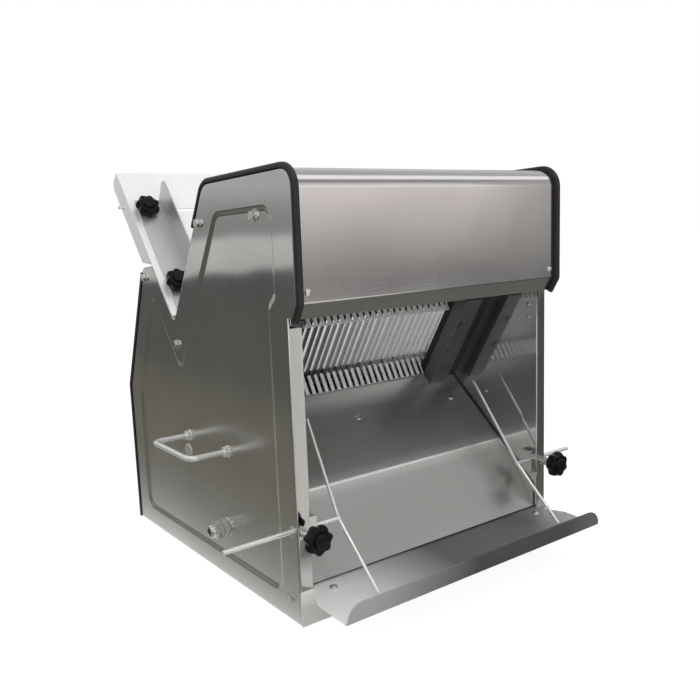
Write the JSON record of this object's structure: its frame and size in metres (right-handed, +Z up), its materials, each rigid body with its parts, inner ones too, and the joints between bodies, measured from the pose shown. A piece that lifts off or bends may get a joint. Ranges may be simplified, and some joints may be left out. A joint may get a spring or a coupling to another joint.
{
  "type": "bread slicer",
  "caption": "Table-top bread slicer: a sloping loaf hopper feeds two opposed blade frames under a hood, and slices slide down a chute past adjustable guide rods to a front tray.",
  "frame": {"origin": "on the surface that the machine stands on, in the middle of the cabinet's footprint", "axes": "+X to the right seen from the front, +Y to the rear, +Z up; the hood, chute and tray face -Y"},
  "size_m": [0.648, 0.6424, 0.6146],
  "materials": {
    "sheet_steel": "brushed stainless sheet with a fine straight grain",
    "polished_steel": "polished stainless, mirror bright",
    "fastener_steel": "bright zinc plated fasteners",
    "black_rubber": "matt black moulded rubber",
    "black_plastic": "black moulded plastic with a slight sheen",
    "dark_steel": "dark machined steel",
    "motor_paint": "blue grey paint",
    "green_plastic": "glossy green moulding",
    "red_plastic": "glossy red moulding"
  },
  "bodies": {
    "cabinet": {"base_frame": "sheet_steel", "rubber_feet": "black_rubber", "left_side_panel": "sheet_steel", "right_side_panel": "sheet_steel", "left_liner": "polished_steel", "right_liner": "polished_steel", "hood_trims": "black_rubber", "rear_trims": "black_rubber", "hood_cover": "sheet_steel", "cover_screws": "fastener_steel", "panel_bolts": "fastener_steel", "rear_wall": "sheet_steel", "hopper_plate": "sheet_steel", "hopper_tie_rod": "polished_steel", "upper_comb": "sheet_steel", "chute": "sheet_steel", "chute_studs": "fastener_steel", "side_rails": "dark_steel", "rail_strips": "black_plastic", "rail_bolts": "fastener_steel", "collecting_tray": "sheet_steel", "tray_screws": "fastener_steel", "left_clamp_block": "dark_steel", "right_clamp_block": "dark_steel", "left_handle": "polished_steel", "right_handle": "polished_steel", "cable_gland": "polished_steel", "hole_plug": "polished_steel", "frame_guides": "black_plastic", "bearing_blocks": "dark_steel", "drive_belt": "black_rubber", "motor": "motor_paint", "switch_plate": "sheet_steel"},
    "rear_blade_frame": {"rear_frame_bars": "dark_steel", "rear_frame_stiles": "dark_steel", "rear_blades": "polished_steel", "rear_connecting_rod": "dark_steel"},
    "front_blade_frame": {"front_frame_bars": "dark_steel", "front_frame_stiles": "dark_steel", "front_blades": "polished_steel", "front_connecting_rod": "dark_steel"},
    "crank": {"crankshaft": "dark_steel", "driven_pulley": "dark_steel"},
    "motor_rotor": {"motor_pulley": "dark_steel"},
    "left_loaf_guide_body": {"left_loaf_guide": "polished_steel", "left_guide_nuts": "fastener_steel"},
    "right_loaf_guide_body": {"right_loaf_guide": "polished_steel", "right_guide_nuts": "fastener_steel"},
    "left_upper_knob_body": {"left_upper_knob": "black_plastic"},
    "left_lower_knob_body": {"left_lower_knob": "black_plastic"},
    "right_upper_knob_body": {"right_upper_knob": "black_plastic"},
    "right_lower_knob_body": {"right_lower_knob": "black_plastic"},
    "left_slice_guide_body": {"left_slice_guide": "polished_steel"},
    "right_slice_guide_body": {"right_slice_guide": "polished_steel"},
    "left_clamp_knob_body": {"left_clamp_knob": "black_plastic"},
    "right_clamp_knob_body": {"right_clamp_knob": "black_plastic"},
    "start_button_body": {"start_button": "green_plastic"},
    "stop_button_body": {"stop_button": "red_plastic"}
  },
  "joints": [
    {"name": "rear_blade_stroke", "type": "slide", "parent": "cabinet", "child": "rear_blade_frame", "axis": [0, -0.5299, 0.848], "range_m": [-0.012, 0.012]},
    {"name": "front_blade_stroke", "type": "slide", "parent": "cabinet", "child": "front_blade_frame", "axis": [0, -0.5299, 0.848], "range_m": [-0.012, 0.012]},
    {"name": "crank_turn", "type": "hinge", "parent": "cabinet", "child": "crank", "pos_m": [0, 0.06638, 0.08865], "axis": [1, 0, 0], "continuous": true},
    {"name": "motor_turn", "type": "hinge", "parent": "cabinet", "child": "motor_rotor", "pos_m": [0.0817, 0.20347, 0.06903], "axis": [1, 0, 0], "continuous": true},
    {"name": "left_loaf_guide_slide", "type": "slide", "parent": "cabinet", "child": "left_loaf_guide_body", "axis": [1, 0, 0], "range_m": [-0.008, 0.09]},
    {"name": "right_loaf_guide_slide", "type": "slide", "parent": "cabinet", "child": "right_loaf_guide_body", "axis": [1, 0, 0], "range_m": [-0.09, 0.008]},
    {"name": "left_upper_knob_turn", "type": "hinge", "parent": "left_loaf_guide_body", "child": "left_upper_knob_body", "pos_m": [-0.212, 0.20398, 0.54862], "axis": [0, -0.7738, 0.6334], "range_deg": [0, 360]},
    {"name": "left_lower_knob_turn", "type": "hinge", "parent": "left_loaf_guide_body", "child": "left_lower_knob_body", "pos_m": [-0.212, 0.10644, 0.42945], "axis": [0, -0.7738, 0.6334], "range_deg": [0, 360]},
    {"name": "right_upper_knob_turn", "type": "hinge", "parent": "right_loaf_guide_body", "child": "right_upper_knob_body", "pos_m": [0.212, 0.20398, 0.54862], "axis": [0, -0.7738, 0.6334], "range_deg": [0, 360]},
    {"name": "right_lower_knob_turn", "type": "hinge", "parent": "right_loaf_guide_body", "child": "right_lower_knob_body", "pos_m": [0.212, 0.10644, 0.42945], "axis": [0, -0.7738, 0.6334], "range_deg": [0, 360]},
    {"name": "left_slice_guide_slide", "type": "slide", "parent": "cabinet", "child": "left_slice_guide_body", "axis": [1, 0, 0], "range_m": [-0.035, 0.09]},
    {"name": "right_slice_guide_slide", "type": "slide", "parent": "cabinet", "child": "right_slice_guide_body", "axis": [1, 0, 0], "range_m": [-0.06, 0.015]},
    {"name": "left_clamp_knob_turn", "type": "hinge", "parent": "cabinet", "child": "left_clamp_knob_body", "pos_m": [-0.2285, -0.2838, 0.13], "axis": [0, -1, 0], "range_deg": [0, 360]},
    {"name": "right_clamp_knob_turn", "type": "hinge", "parent": "cabinet", "child": "right_clamp_knob_body", "pos_m": [0.2285, -0.2838, 0.13], "axis": [0, -1, 0], "range_deg": [0, 360]},
    {"name": "start_button_press", "type": "slide", "parent": "cabinet", "child": "start_button_body", "axis": [-1, 0, 0], "range_m": [0, 0.003], "stiffness_N_per_m": 800},
    {"name": "stop_button_press", "type": "slide", "parent": "cabinet", "child": "stop_button_body", "axis": [-1, 0, 0], "range_m": [0, 0.003], "stiffness_N_per_m": 800}
  ],
  "couplings": [
    {"joint": "front_blade_stroke", "follows": "rear_blade_stroke", "ratio": -1},
    {"joint": "motor_turn", "follows": "crank_turn", "ratio": 2.5}
  ]
}
